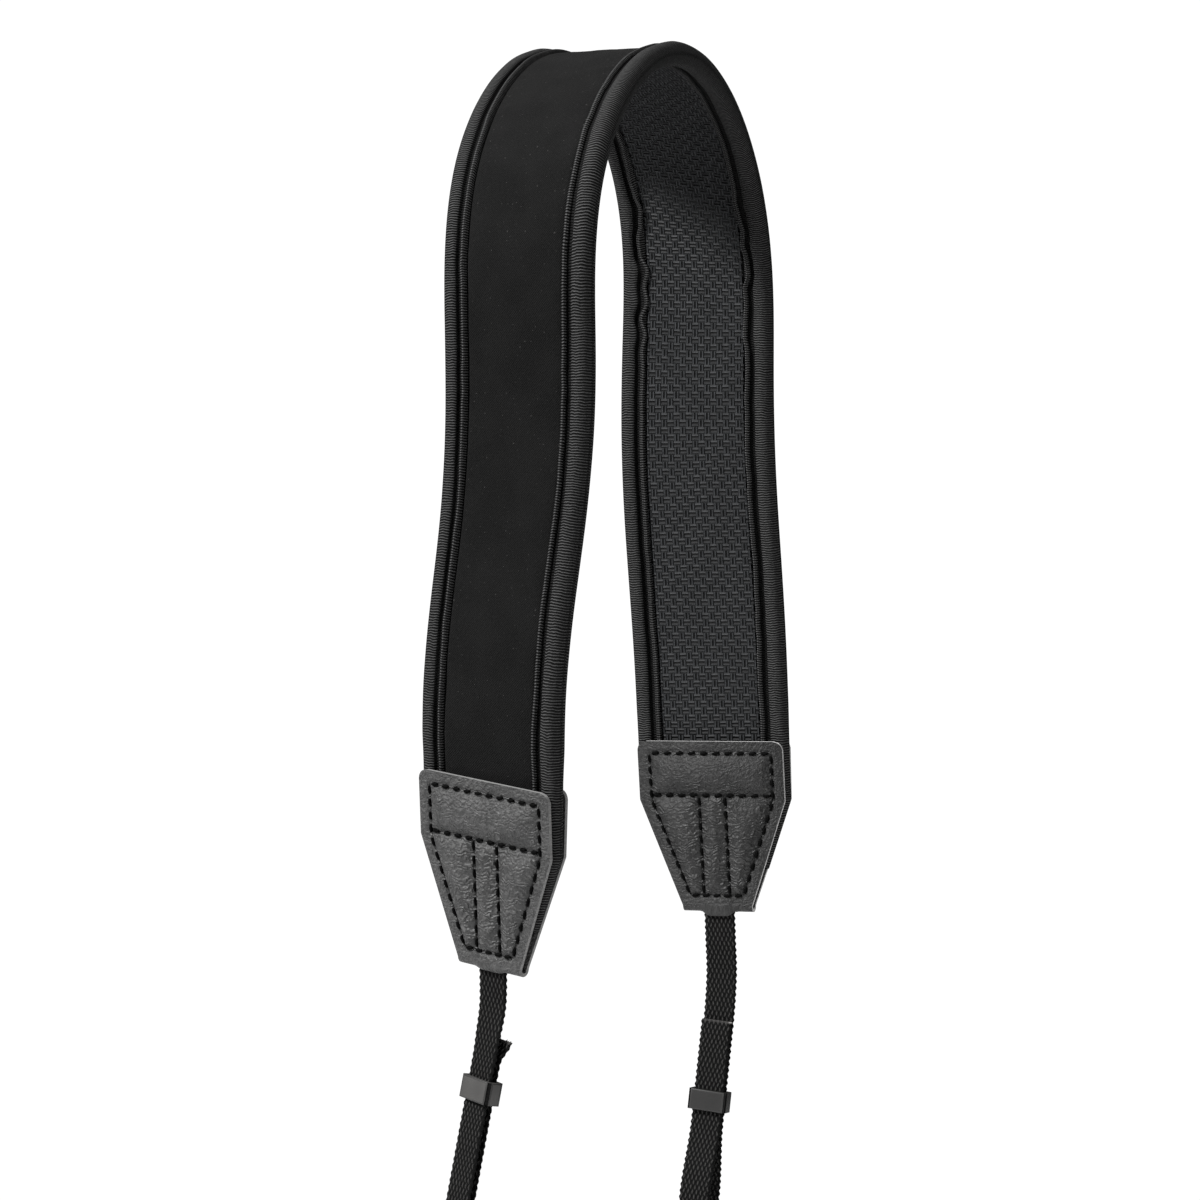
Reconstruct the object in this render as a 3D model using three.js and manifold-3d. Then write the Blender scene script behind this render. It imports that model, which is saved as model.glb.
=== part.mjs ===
// Camera neck strap: a padded neck band hung over its middle, with a bound edge on each side, a folded
// leather tab sewn over each end, and a doubled webbing leg with a sliding keeper below each tab.
// Millimetres, +Z up. The origin is where the lining rests on what holds the strap up.
// The leg that is nearer in the reference view is on -X ("near"), the other on +X ("far").
import * as THREE from 'three';
import { mergeVertices } from 'three/addons/utils/BufferGeometryUtils.js';
import Module from 'manifold-3d';

const wasm = await Module();
wasm.setup();

// Neck band
const BAND_WIDTH = 50;
const BAND_THICKNESS = 7;
const FACE_HEIGHT = 2;
const CROWN = 0.3;
const LAYER_SPLIT = -0.4;
const LAYER_GAP = 0.3;
const HEM_HEIGHT = 1.3;
const HEM_INSET = 2.2;
const ARCH_LENGTH = 120;
const ARCH_STEP = 10;
const LEG_STEP = 20;

// Edge binding, half its section: up the selvedge, over the sewn groove and round the rolled tape
const BINDING_BORE = 1.6;
const BINDING_SECTION = [
  { inset: 8.3, height: BINDING_BORE },
  { inset: 8.2, height: 3 },
  { inset: 7.1, height: 3.3 },
  { inset: 6, height: 2.9 },
  { inset: 5.5, height: 2.4 },
  { inset: 4.7, height: 3.2 },
  { inset: 2.8, height: 3.5 },
  { inset: 0.9, height: 2.4 },
];
const BINDING_WIDTH = BINDING_SECTION[0].inset;

// Leather tabs
const TAB_TOP = 250.4;
const TAB_LENGTH = 53.7;
const TAB_WIDTH = 48;
const TAB_FOOT_WIDTH = 21.5;
const TAB_STRAIGHT = 18.5;
const TAB_CORNER = 3;
const LEATHER = 1;
const TAB_MOUTH = 3.05;
const FOLD_RADIUS = 1.9;
const STITCH_INSET = 3.8;
const CROSS_STITCH = 17;
const CHANNEL_STITCH = 4.3;
const FOOT_STITCH = 48.5;
const PUFF = 0.55;
const SEAM_DEPTH = 0.25;
const PUFF_REACH = 2;
const SEAM_REACH = 0.9;
const TAB_ROWS = { head: [6, 10.5, 15], body: [19, 25, 32, 39, 46] };
const FOLD_ANGLES = [0, 40, 90, 140, 180];
const BAND_INSIDE_TAB = 40;
const SQUEEZE_LENGTH = 12;
const SEAT_GAP = 0.3;

// Webbing legs: the outer layer comes down from the tab, the inner layer is the tail going back up
const WEB_WIDTH = 10;
const WEB_THICKNESS = 1.4;
const WEB_LAYER = 0.85;
const WEB_SEWN_FROM = 22.4;
const WEB_NOTCH = 0.4;
const WEB_STEP = 6;
const PARTING_DROP = 8;
const PARTING_LENGTH = 12;
const LOOP_END = 480;
const LOOP_HALF_WIDTH = 6;
const LOOP_CORNER = 4;
const LOOP_NECK = 2;
const LOOP_SHOULDER = 18;
const LOOP_ANGLES = [0, 30, 60, 90];

// Each leg: where its tail ends, how far the tail's end slips off, where the keeper sits, and how far
// the two layers bow apart between the keeper and the adjuster
const LEGS = {
  near: { side: -1, tailEnd: 324, slip: 1.2, slipLength: 7, keeper: 338, bow: 0 },
  far: { side: 1, tailEnd: 338, slip: 0, slipLength: 7, keeper: 363.4, bow: 3.4 },
};
const BOW_START = 6;

// Keepers and adjusters
const KEEPER_SIZE = { across: 13, outward: 5.6, along: 6.4 };
const KEEPER_WALL = { across: 1.2, outward: 1 };
const KEEPER_ROUND = 1.3;
const KEEPER_BEVEL = 0.35;
const KEEPER_BORE_ROUND = 0.55;
const ADJUSTER_AT = 428;
const ADJUSTER_LENGTH = 18;
const ADJUSTER_BAR = { along: 3, outward: 1.6 };
const ADJUSTER_RAIL = 1.8;
const ADJUSTER_CLEAR = 0.35;

const DEGREE = Math.PI / 180;

// The line that the whole strap follows, by distance from its middle. Pitch is the slope of the line,
// lean is its drift sideways, and yaw turns the strap about the vertical. Equal rows are straight.
const STRAP_LINE = [
  { along: -480, pitch: 90, lean: 0, yaw: 0 },
  { along: -412, pitch: 90, lean: 0, yaw: 0 },
  { along: -374, pitch: 85.3, lean: -8.8, yaw: -26.1 },
  { along: -332, pitch: 85.3, lean: -8.8, yaw: -26.1 },
  { along: -306, pitch: 97.9, lean: -3, yaw: -17.7 },
  { along: -250, pitch: 97.9, lean: -3, yaw: -17.7 },
  { along: -195, pitch: 81.3, lean: -3.4, yaw: -16.6 },
  { along: -130, pitch: 90.2, lean: 1.4, yaw: -13.1 },
  { along: -65, pitch: 42.6, lean: 4.1, yaw: -13.2 },
  { along: 0, pitch: 0.6, lean: 3.8, yaw: -12.7 },
  { along: 65, pitch: -44.8, lean: 3.1, yaw: -8.5 },
  { along: 130, pitch: -89.3, lean: 0.5, yaw: -0.2 },
  { along: 195, pitch: -82.5, lean: -1.8, yaw: 3.7 },
  { along: 250, pitch: -87.1, lean: -1.7, yaw: 1.5 },
  { along: 306, pitch: -87.1, lean: -1.7, yaw: 1.5 },
  { along: 345, pitch: -93.7, lean: 4.3, yaw: 0.9 },
  { along: 396, pitch: -93.7, lean: 4.3, yaw: 0.9 },
  { along: 416, pitch: -90, lean: 0, yaw: 0 },
  { along: 480, pitch: -90, lean: 0, yaw: 0 },
];
const LINE_STEP = 1;

// Monotone cubic slope at a row of a table, so that flat stretches stay flat and nothing overshoots.
function rowSlope(rows, row, column) {
  if (row === 0 || row === rows.length - 1) return 0;
  const before = rows[row].along - rows[row - 1].along;
  const after = rows[row + 1].along - rows[row].along;
  const riseBefore = (rows[row][column] - rows[row - 1][column]) / before;
  const riseAfter = (rows[row + 1][column] - rows[row][column]) / after;
  if (riseBefore * riseAfter <= 0) return 0;
  const weightBefore = 2 * after + before;
  const weightAfter = after + 2 * before;
  return (weightBefore + weightAfter) / (weightBefore / riseBefore + weightAfter / riseAfter);
}

function tableValue(rows, column, along) {
  const inside = Math.min(Math.max(along, rows[0].along), rows.at(-1).along);
  const row = Math.max(rows.findIndex((entry) => entry.along >= inside) - 1, 0);
  const length = rows[row + 1].along - rows[row].along;
  const part = (inside - rows[row].along) / length;
  const rest = 1 - part;
  return rest * rest * (1 + 2 * part) * rows[row][column]
    + part * part * (1 + 2 * rest) * rows[row + 1][column]
    + part * rest * rest * length * rowSlope(rows, row, column)
    - part * part * rest * length * rowSlope(rows, row + 1, column);
}

function forwardAt(along) {
  const pitch = tableValue(STRAP_LINE, 'pitch', along) * DEGREE;
  const lean = tableValue(STRAP_LINE, 'lean', along) * DEGREE;
  const level = Math.cos(lean);
  return new THREE.Vector3(level * Math.cos(pitch), Math.sin(lean), level * Math.sin(pitch));
}

// Steps along the strap line from its middle, which lies half the band's height above the origin.
function walkLine(side) {
  const points = [new THREE.Vector3(0, 0, FACE_HEIGHT)];
  for (let along = LINE_STEP / 2; along < LOOP_END; along += LINE_STEP) {
    points.push(points.at(-1).clone().addScaledVector(forwardAt(side * along), side * LINE_STEP));
  }
  return points;
}

const LINE = { near: walkLine(LEGS.near.side), far: walkLine(LEGS.far.side) };

// The frame of the strap at a distance along it: forward, across (to the front edge) and outward.
function stationAt(along) {
  const points = along < 0 ? LINE.near : LINE.far;
  const step = Math.min(Math.floor(Math.abs(along) / LINE_STEP), points.length - 2);
  const centre = points[step].clone().lerp(points[step + 1], Math.abs(along) / LINE_STEP - step);
  const forward = forwardAt(along);
  const yaw = tableValue(STRAP_LINE, 'yaw', along) * DEGREE;
  const across = new THREE.Vector3(Math.sin(yaw), -Math.cos(yaw), 0);
  across.addScaledVector(forward, -across.dot(forward)).normalize();
  const outward = across.clone().cross(forward);
  return { centre, forward, across, outward };
}

function strapPoint(along, across, outward) {
  const station = stationAt(along);
  return station.centre.addScaledVector(station.across, across).addScaledVector(station.outward, outward);
}

// Solids

function closedGeometry(points, triangles) {
  const sixVolumes = triangles.reduce((sum, [a, b, c]) =>
    sum + points[a].dot(points[b].clone().cross(points[c])), 0);
  const outwardTriangles = sixVolumes > 0 ? triangles : triangles.map(([a, b, c]) => [a, c, b]);
  const geometry = new THREE.BufferGeometry().setFromPoints(points);
  geometry.setIndex(outwardTriangles.flat());
  return geometry;
}

function gridTriangles(rows, columns, index, closeColumns) {
  const triangles = [];
  for (let row = 0; row < rows - 1; row += 1) {
    for (let column = 0; column < columns - (closeColumns ? 0 : 1); column += 1) {
      const next = (column + 1) % columns;
      triangles.push([index(row, column), index(row, next), index(row + 1, next)]);
      triangles.push([index(row, column), index(row + 1, next), index(row + 1, column)]);
    }
  }
  return triangles;
}

// A closed section carried from ring to ring, with flat ends.
function sweptSolid(rings, endOutline) {
  const count = rings[0].length;
  const index = (row, column) => row * count + column;
  const triangles = gridTriangles(rings.length, count, index, true);
  const cap = THREE.ShapeUtils.triangulateShape(endOutline.map(([x, y]) => new THREE.Vector2(x, y)), []);
  const last = (rings.length - 1) * count;
  const clockwise = THREE.ShapeUtils.isClockWise(endOutline.map(([x, y]) => new THREE.Vector2(x, y)));
  for (const [a, b, c] of cap) {
    const front = clockwise ? [a, b, c] : [a, c, b];
    triangles.push(front);
    triangles.push([last + front[0], last + front[2], last + front[1]]);
  }
  return closedGeometry(rings.flat(), triangles);
}

function sweepAlong(stops, sectionAt) {
  const rings = stops.map((along) =>
    sectionAt(along).map(([across, outward]) => strapPoint(along, across, outward)));
  return sweptSolid(rings, sectionAt(stops[0]));
}

function asManifold(geometry) {
  const merged = mergeVertices(geometry.clone().deleteAttribute('normal').deleteAttribute('uv'), 1e-5);
  return new wasm.Manifold(new wasm.Mesh({
    numProp: 3,
    vertProperties: new Float32Array(merged.attributes.position.array),
    triVerts: new Uint32Array(merged.index.array),
  }));
}

function asGeometry(manifold) {
  const mesh = manifold.getMesh();
  const geometry = new THREE.BufferGeometry();
  geometry.setAttribute('position', new THREE.BufferAttribute(mesh.vertProperties, 3));
  geometry.setIndex(new THREE.BufferAttribute(mesh.triVerts, 1));
  return geometry;
}

// Neck band

// Inside of a flap above the middle of the tab, from its mouth down to the fold.
function flapInside(down) {
  const foot = TAB_LENGTH - FOLD_RADIUS;
  return THREE.MathUtils.lerp(TAB_MOUTH, FOLD_RADIUS - LEATHER, Math.min(Math.max(down, 0) / foot, 1));
}

function tabHalfWidth(down) {
  const taper = Math.max(down - TAB_STRAIGHT, 0) / (TAB_LENGTH - TAB_STRAIGHT);
  return THREE.MathUtils.lerp(TAB_WIDTH, TAB_FOOT_WIDTH, Math.min(taper, 1)) / 2;
}

function bandHalfWidth(along) {
  return tabHalfWidth(Math.abs(along) - TAB_TOP) + (BAND_WIDTH - TAB_WIDTH) / 2;
}

// Share of the band's full thickness: it is squeezed as it goes into a tab.
function bandSqueeze(along) {
  const down = Math.abs(along) - TAB_TOP;
  const squeezed = (flapInside(down) - SEAT_GAP) / (BAND_THICKNESS / 2);
  const inTab = THREE.MathUtils.smoothstep(down, -SQUEEZE_LENGTH, 0);
  return THREE.MathUtils.lerp(1, squeezed, inTab);
}

function layerOutline(along, inside, hem, face, crown) {
  const squeeze = bandSqueeze(along);
  const edge = bandHalfWidth(along) - HEM_INSET;
  const step = bandHalfWidth(along) - BINDING_WIDTH - SEAT_GAP;
  const flat = step - Math.abs(face - hem) / 2;
  const outline = [
    [-edge, inside], [-edge, hem], [-step, hem], [-flat, face], [0, face + crown],
    [flat, face], [step, hem], [edge, hem], [edge, inside],
  ];
  return outline.map(([across, outward]) => [across, outward * squeeze]);
}

const padOutline = (along) => layerOutline(along, LAYER_SPLIT, HEM_HEIGHT, FACE_HEIGHT, CROWN);
const liningOutline = (along) => layerOutline(along, LAYER_SPLIT - LAYER_GAP, -HEM_HEIGHT, -FACE_HEIGHT, 0);

// The binding's whole section on one edge, closed round the bore that holds the band.
function bindingOutline(along, edgeSide) {
  const squeeze = bandSqueeze(along);
  const edge = bandHalfWidth(along);
  const bore = edge - HEM_INSET + SEAT_GAP;
  const half = BINDING_SECTION.map(({ inset, height }) => [edge - inset, height]);
  const outline = [
    ...half,
    [edge, 0],
    ...half.map(([across, outward]) => [across, -outward]).reverse(),
    [bore, -BINDING_BORE],
    [bore, BINDING_BORE],
  ];
  return outline.map(([across, outward]) => [edgeSide * across, outward * squeeze]);
}

function spaced(from, to, step) {
  const count = Math.ceil((to - from) / step);
  return Array.from({ length: count }, (_, place) => from + place * (to - from) / count);
}

function bandStops() {
  const mouth = TAB_TOP - SQUEEZE_LENGTH;
  const half = [...spaced(0, ARCH_LENGTH, ARCH_STEP), ...spaced(ARCH_LENGTH, mouth, LEG_STEP)];
  const entry = [mouth, TAB_TOP - SQUEEZE_LENGTH / 2, TAB_TOP];
  const oneSide = [...half, ...entry, TAB_TOP + TAB_STRAIGHT, TAB_TOP + BAND_INSIDE_TAB];
  return [...oneSide.slice(1).map((along) => -along).reverse(), ...oneSide];
}

// The band is notched at each end, and the webbing is sewn into the notch.
function notched(geometry) {
  let solid = asManifold(geometry);
  for (const { side } of Object.values(LEGS)) {
    const half = WEB_WIDTH / 2 + WEB_NOTCH;
    const stops = [TAB_TOP + WEB_SEWN_FROM - WEB_NOTCH, TAB_TOP + TAB_LENGTH].map((along) => side * along);
    const block = sweepAlong(stops, () => [
      [-half, -BAND_THICKNESS], [half, -BAND_THICKNESS], [half, BAND_THICKNESS], [-half, BAND_THICKNESS],
    ]);
    solid = solid.subtract(asManifold(block));
  }
  return asGeometry(solid);
}

// Leather tabs

const gaussian = (distance, width) => Math.exp(-((distance / width) ** 2));

// Height of a flap's outside over its inside: leather puffed between the seams and drawn in at them.
function flapThickness(down, across) {
  const halfWidth = tabHalfWidth(down);
  const fromEdge = Math.min(halfWidth - Math.abs(across), down) - STITCH_INSET;
  const fromCross = Math.abs(down - CROSS_STITCH);
  const fromFoot = FOOT_STITCH - down;
  const fromChannel = down > CROSS_STITCH ? Math.abs(Math.abs(across) - CHANNEL_STITCH) : Infinity;
  const toSeam = Math.min(Math.abs(fromEdge), fromCross, Math.abs(fromFoot), fromChannel);
  const inside = fromEdge > 0 && fromFoot > 0;
  const raised = inside ? PUFF * (1 - gaussian(toSeam, PUFF_REACH)) : 0;
  return LEATHER + raised - SEAM_DEPTH * gaussian(toSeam, SEAM_REACH);
}

function tabColumns(halfWidth) {
  const border = halfWidth - STITCH_INSET;
  const rim = halfWidth - STITCH_INSET / 3;
  const side = [CHANNEL_STITCH, (CHANNEL_STITCH + border) / 2, border, rim, halfWidth];
  return [...side.map((across) => -across).reverse(), 0, ...side];
}

// A folded sheet: down the outer flap, round the fold at the foot and up the inner flap.
function tabGeometry(side) {
  const foldCentre = TAB_LENGTH - FOLD_RADIUS;
  const downs = [
    0, TAB_CORNER * 0.3, TAB_CORNER, STITCH_INSET, ...TAB_ROWS.head,
    CROSS_STITCH, ...TAB_ROWS.body, FOOT_STITCH,
  ];
  const flap = downs.map((down) => ({ down, outward: flapInside(down), fold: null }));
  const foldAngles = FOLD_ANGLES.map((angle) => angle * DEGREE);
  const fold = foldAngles.map((angle) => ({ down: foldCentre, outward: 0, fold: angle }));
  const mirrored = flap.map((row) => ({ ...row, outward: -row.outward })).reverse();
  const rows = [...flap, ...fold, ...mirrored];
  const columns = tabColumns(TAB_WIDTH / 2).length;

  function rowPoints(row, outside) {
    const corner = Math.max(TAB_CORNER - row.down, 0);
    const rounding = TAB_CORNER - Math.sqrt(TAB_CORNER ** 2 - corner ** 2);
    const halfWidth = tabHalfWidth(row.down) - rounding;
    return tabColumns(halfWidth).map((across) => {
      if (row.fold !== null) {
        const radius = FOLD_RADIUS - (outside ? 0 : LEATHER);
        const down = row.down + radius * Math.sin(row.fold);
        return strapPoint(side * (TAB_TOP + down), across, radius * Math.cos(row.fold));
      }
      const thickness = outside ? flapThickness(row.down, across) : 0;
      const outward = row.outward + Math.sign(row.outward) * thickness;
      return strapPoint(side * (TAB_TOP + row.down), across, outward);
    });
  }

  const outsidePoints = rows.flatMap((row) => rowPoints(row, true));
  const insidePoints = rows.flatMap((row) => rowPoints(row, false));
  const outer = (row, column) => row * columns + column;
  const inner = (row, column) => outsidePoints.length + row * columns + column;
  const triangles = gridTriangles(rows.length, columns, outer, false);
  for (const [a, b, c] of gridTriangles(rows.length, columns, inner, false)) triangles.push([a, c, b]);
  const rim = [];
  for (let column = 0; column < columns; column += 1) rim.push([0, column]);
  for (let row = 1; row < rows.length; row += 1) rim.push([row, columns - 1]);
  for (let column = columns - 2; column >= 0; column -= 1) rim.push([rows.length - 1, column]);
  for (let row = rows.length - 2; row > 0; row -= 1) rim.push([row, 0]);
  rim.forEach(([row, column], place) => {
    const [nextRow, nextColumn] = rim[(place + 1) % rim.length];
    triangles.push([outer(row, column), inner(nextRow, nextColumn), outer(nextRow, nextColumn)]);
    triangles.push([outer(row, column), inner(row, column), inner(nextRow, nextColumn)]);
  });
  const sheet = closedGeometry([...outsidePoints, ...insidePoints], triangles);

  const slotHalf = WEB_WIDTH / 2 + SEAT_GAP;
  const slotDepth = WEB_THICKNESS / 2 + SEAT_GAP;
  const slotDowns = [TAB_LENGTH - 2 * FOLD_RADIUS, TAB_LENGTH + FOLD_RADIUS];
  const slotStops = slotDowns.map((down) => side * (TAB_TOP + down));
  const slot = sweepAlong(slotStops, () => [
    [-slotHalf, -slotDepth], [slotHalf, -slotDepth], [slotHalf, slotDepth], [-slotHalf, slotDepth],
  ]);
  return asGeometry(asManifold(sheet).subtract(asManifold(slot)));
}

// Webbing

// How far each layer of a leg lies from the middle between them, from the parting down to the loop.
function layerOffset(along, leg) {
  const parting = TAB_TOP + TAB_LENGTH + PARTING_DROP;
  const bowFrom = leg.keeper + BOW_START;
  const bowTo = ADJUSTER_AT - ADJUSTER_LENGTH / 2 - LOOP_NECK;
  const bowPart = Math.min(Math.max((along - bowFrom) / (bowTo - bowFrom), 0), 1);
  const apart = WEB_LAYER * THREE.MathUtils.smoothstep(along, parting, parting + PARTING_LENGTH);
  const loopTop = ADJUSTER_AT + ADJUSTER_LENGTH / 2 + LOOP_NECK;
  const loop = THREE.MathUtils.smoothstep(along, loopTop, loopTop + LOOP_SHOULDER);
  return apart + leg.bow * Math.sin(bowPart * Math.PI) ** 2 + loop * (LOOP_HALF_WIDTH - WEB_LAYER);
}

// The middle of the ribbon: distance along the strap, outward, and the sideways slip of the tail.
function webbingRoute(leg) {
  const top = TAB_TOP + WEB_SEWN_FROM;
  const parting = TAB_TOP + TAB_LENGTH + PARTING_DROP;
  const parted = parting + PARTING_LENGTH;
  const loopTop = ADJUSTER_AT + ADJUSTER_LENGTH / 2 + LOOP_NECK;
  const loopFoot = LOOP_END - LOOP_CORNER;
  const stops = [
    top, ...spaced(parting, parted, PARTING_LENGTH / 4), ...spaced(parted, loopTop, WEB_STEP),
    ...spaced(loopTop, loopTop + LOOP_SHOULDER, LOOP_SHOULDER / 5), loopTop + LOOP_SHOULDER,
  ];
  const outer = stops.map((along) => ({ along, outward: layerOffset(along, leg), slip: 0 }));
  for (const angle of LOOP_ANGLES) {
    const outward = LOOP_HALF_WIDTH - LOOP_CORNER + LOOP_CORNER * Math.cos(angle * DEGREE);
    outer.push({ along: loopFoot + LOOP_CORNER * Math.sin(angle * DEGREE), outward, slip: 0 });
  }
  const slipFrom = leg.tailEnd + leg.slipLength;
  const inner = outer.filter(({ along }) => along > slipFrom);
  const tail = inner.map((point) => ({ ...point, outward: -point.outward })).reverse();
  tail.push({ along: slipFrom, outward: -WEB_LAYER, slip: 0 });
  tail.push({ along: leg.tailEnd, outward: -WEB_LAYER - leg.slip / 2, slip: leg.slip });
  return [...outer, ...tail];
}

function webbingGeometry(leg) {
  const route = webbingRoute(leg);
  const middle = route.map(({ along, outward }) => new THREE.Vector2(along, outward));
  const half = WEB_WIDTH / 2;
  const corners = [[-half, -1], [half, -1], [half, 1], [-half, 1]];
  const rings = route.map(({ slip }, place) => {
    const point = middle[place];
    const into = point.clone().sub(middle[Math.max(place - 1, 0)]).normalize();
    const out = middle[Math.min(place + 1, middle.length - 1)].clone().sub(point).normalize();
    const heading = into.clone().add(out).normalize();
    const mitre = 1 / heading.dot(place > 0 ? into : out);
    const normal = new THREE.Vector2(-heading.y, heading.x).multiplyScalar(mitre * WEB_THICKNESS / 2);
    return corners.map(([across, face]) =>
      strapPoint(leg.side * (point.x + face * normal.x), across + slip, point.y + face * normal.y));
  });
  return sweptSolid(rings, corners);
}

// Keepers and adjusters

function roundedOutline(path, width, height, radius) {
  const x = width / 2 - radius;
  const y = height / 2 - radius;
  path.absarc(x, y, radius, 0, Math.PI / 2);
  path.absarc(-x, y, radius, Math.PI / 2, Math.PI);
  path.absarc(-x, -y, radius, Math.PI, Math.PI * 1.5);
  path.absarc(x, -y, radius, Math.PI * 1.5, Math.PI * 2);
  path.closePath();
  return path;
}

function keeperGeometry() {
  const grow = 2 * KEEPER_BEVEL;
  const shape = roundedOutline(
    new THREE.Shape(), KEEPER_SIZE.across - grow, KEEPER_SIZE.outward - grow, KEEPER_ROUND - KEEPER_BEVEL);
  const bore = roundedOutline(
    new THREE.Path(), KEEPER_SIZE.across - 2 * KEEPER_WALL.across + grow,
    KEEPER_SIZE.outward - 2 * KEEPER_WALL.outward + grow, KEEPER_BORE_ROUND);
  shape.holes.push(bore);
  const geometry = new THREE.ExtrudeGeometry(shape, {
    depth: KEEPER_SIZE.along - grow, curveSegments: 3, bevelSize: KEEPER_BEVEL,
    bevelThickness: KEEPER_BEVEL, bevelSegments: 2,
  });
  return geometry.translate(0, 0, KEEPER_BEVEL - KEEPER_SIZE.along / 2);
}

// A plain three-bar slide: the end bars lie outside the two layers and the middle bar inside them.
function adjusterGeometry() {
  const slotHalf = WEB_WIDTH / 2 + ADJUSTER_CLEAR;
  const layers = WEB_LAYER + WEB_THICKNESS / 2 + ADJUSTER_CLEAR;
  const depth = 2 * (layers + ADJUSTER_BAR.outward);
  const barLift = layers + ADJUSTER_BAR.outward / 2;
  const endBar = ADJUSTER_LENGTH / 2 - ADJUSTER_BAR.along / 2;
  const boxes = [];
  for (const edge of [-1, 1]) {
    const rail = new THREE.BoxGeometry(ADJUSTER_RAIL, depth, ADJUSTER_LENGTH);
    boxes.push(rail.translate(edge * (slotHalf + ADJUSTER_RAIL / 2), 0, 0));
  }
  const bars = [
    { along: -endBar, lift: barLift },
    { along: 0, lift: -barLift },
    { along: endBar, lift: barLift },
  ];
  for (const { along, lift } of bars) {
    const bar = new THREE.BoxGeometry(2 * slotHalf + ADJUSTER_RAIL, ADJUSTER_BAR.outward, ADJUSTER_BAR.along);
    boxes.push(bar.translate(0, lift, along));
  }
  const joined = boxes.map(asManifold).reduce((whole, box) => whole.add(box));
  return asGeometry(joined);
}

// Assembly

const FINISHES = {
  neoprene: { color: 0x1b1b1d, roughness: 0.85, metalness: 0 },
  grip: { color: 0x2e3238, roughness: 0.7, metalness: 0 },
  tape: { color: 0x161617, roughness: 0.8, metalness: 0 },
  leather: { color: 0x4a4a4c, roughness: 0.6, metalness: 0 },
  webbing: { color: 0x1a1a1b, roughness: 0.8, metalness: 0 },
  plastic: { color: 0x47454a, roughness: 0.4, metalness: 0 },
};

function namedMesh(name, geometry, finish) {
  const mesh = new THREE.Mesh(geometry, new THREE.MeshStandardMaterial(FINISHES[finish]));
  mesh.name = name;
  return mesh;
}

function setOnStrap(mesh, along) {
  const station = stationAt(along);
  const basis = new THREE.Matrix4().makeBasis(station.across, station.outward, station.forward.negate());
  mesh.quaternion.setFromRotationMatrix(basis);
  mesh.position.copy(station.centre);
  return mesh;
}

const strap = new THREE.Group();
const stops = bandStops();
strap.add(namedMesh('neoprene_pad', notched(sweepAlong(stops, padOutline)), 'neoprene'));
strap.add(namedMesh('grip_lining', notched(sweepAlong(stops, liningOutline)), 'grip'));
for (const [edgeName, edgeSide] of [['front', 1], ['back', -1]]) {
  const binding = sweepAlong(stops, (along) => bindingOutline(along, edgeSide));
  strap.add(namedMesh(`edge_binding_${edgeName}`, binding, 'tape'));
}
for (const [name, leg] of Object.entries(LEGS)) {
  strap.add(namedMesh(`end_tab_${name}`, tabGeometry(leg.side), 'leather'));
  strap.add(namedMesh(`webbing_${name}`, webbingGeometry(leg), 'webbing'));
  strap.add(setOnStrap(namedMesh(`keeper_${name}`, keeperGeometry(), 'plastic'), leg.side * leg.keeper));
  strap.add(setOnStrap(namedMesh(`adjuster_${name}`, adjusterGeometry(), 'plastic'), leg.side * ADJUSTER_AT));
}

export default strap;
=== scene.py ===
# %% [markdown]
# # A camera neck strap, dressed over its solids
# The strap is a padded neck band that hangs over its middle. Each end has a leather tab, and a doubled
# webbing leg with a sliding keeper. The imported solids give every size, so the frame is loaded first.

# %% Load the frame
import math

import bmesh
import bpy
import numpy as np
from mathutils import Matrix, Vector


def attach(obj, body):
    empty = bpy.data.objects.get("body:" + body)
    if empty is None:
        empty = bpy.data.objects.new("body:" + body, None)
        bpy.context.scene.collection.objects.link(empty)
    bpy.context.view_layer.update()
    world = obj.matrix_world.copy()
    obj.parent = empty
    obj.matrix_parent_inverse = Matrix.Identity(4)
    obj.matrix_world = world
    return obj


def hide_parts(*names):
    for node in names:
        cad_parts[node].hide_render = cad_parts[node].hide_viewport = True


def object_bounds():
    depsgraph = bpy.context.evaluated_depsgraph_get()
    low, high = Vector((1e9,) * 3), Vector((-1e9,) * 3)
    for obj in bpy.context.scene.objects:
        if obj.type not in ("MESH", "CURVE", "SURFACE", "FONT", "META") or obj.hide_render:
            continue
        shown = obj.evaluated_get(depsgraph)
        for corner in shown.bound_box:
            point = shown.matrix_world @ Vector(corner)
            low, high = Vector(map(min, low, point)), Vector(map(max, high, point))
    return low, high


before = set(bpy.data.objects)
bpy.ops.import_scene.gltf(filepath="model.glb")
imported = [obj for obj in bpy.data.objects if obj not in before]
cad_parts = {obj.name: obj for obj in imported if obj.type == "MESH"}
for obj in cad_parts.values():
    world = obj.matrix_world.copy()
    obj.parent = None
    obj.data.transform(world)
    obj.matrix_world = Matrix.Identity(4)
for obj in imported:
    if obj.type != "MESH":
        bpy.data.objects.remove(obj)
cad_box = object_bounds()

# %% [markdown]
# ## The line that the strap follows
# Every soft piece of a strap is cut flat and then hung. So each piece here is modelled flat, in
# millimetres: along the strap, across it, and outward from its middle. One function then moves the flat
# points to the hanging form. Drawing each piece in its bent place would be harder to shape and to check.
# The table repeats the one in the part's source: distance, slope, sideways drift and turn, in degrees.

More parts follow.
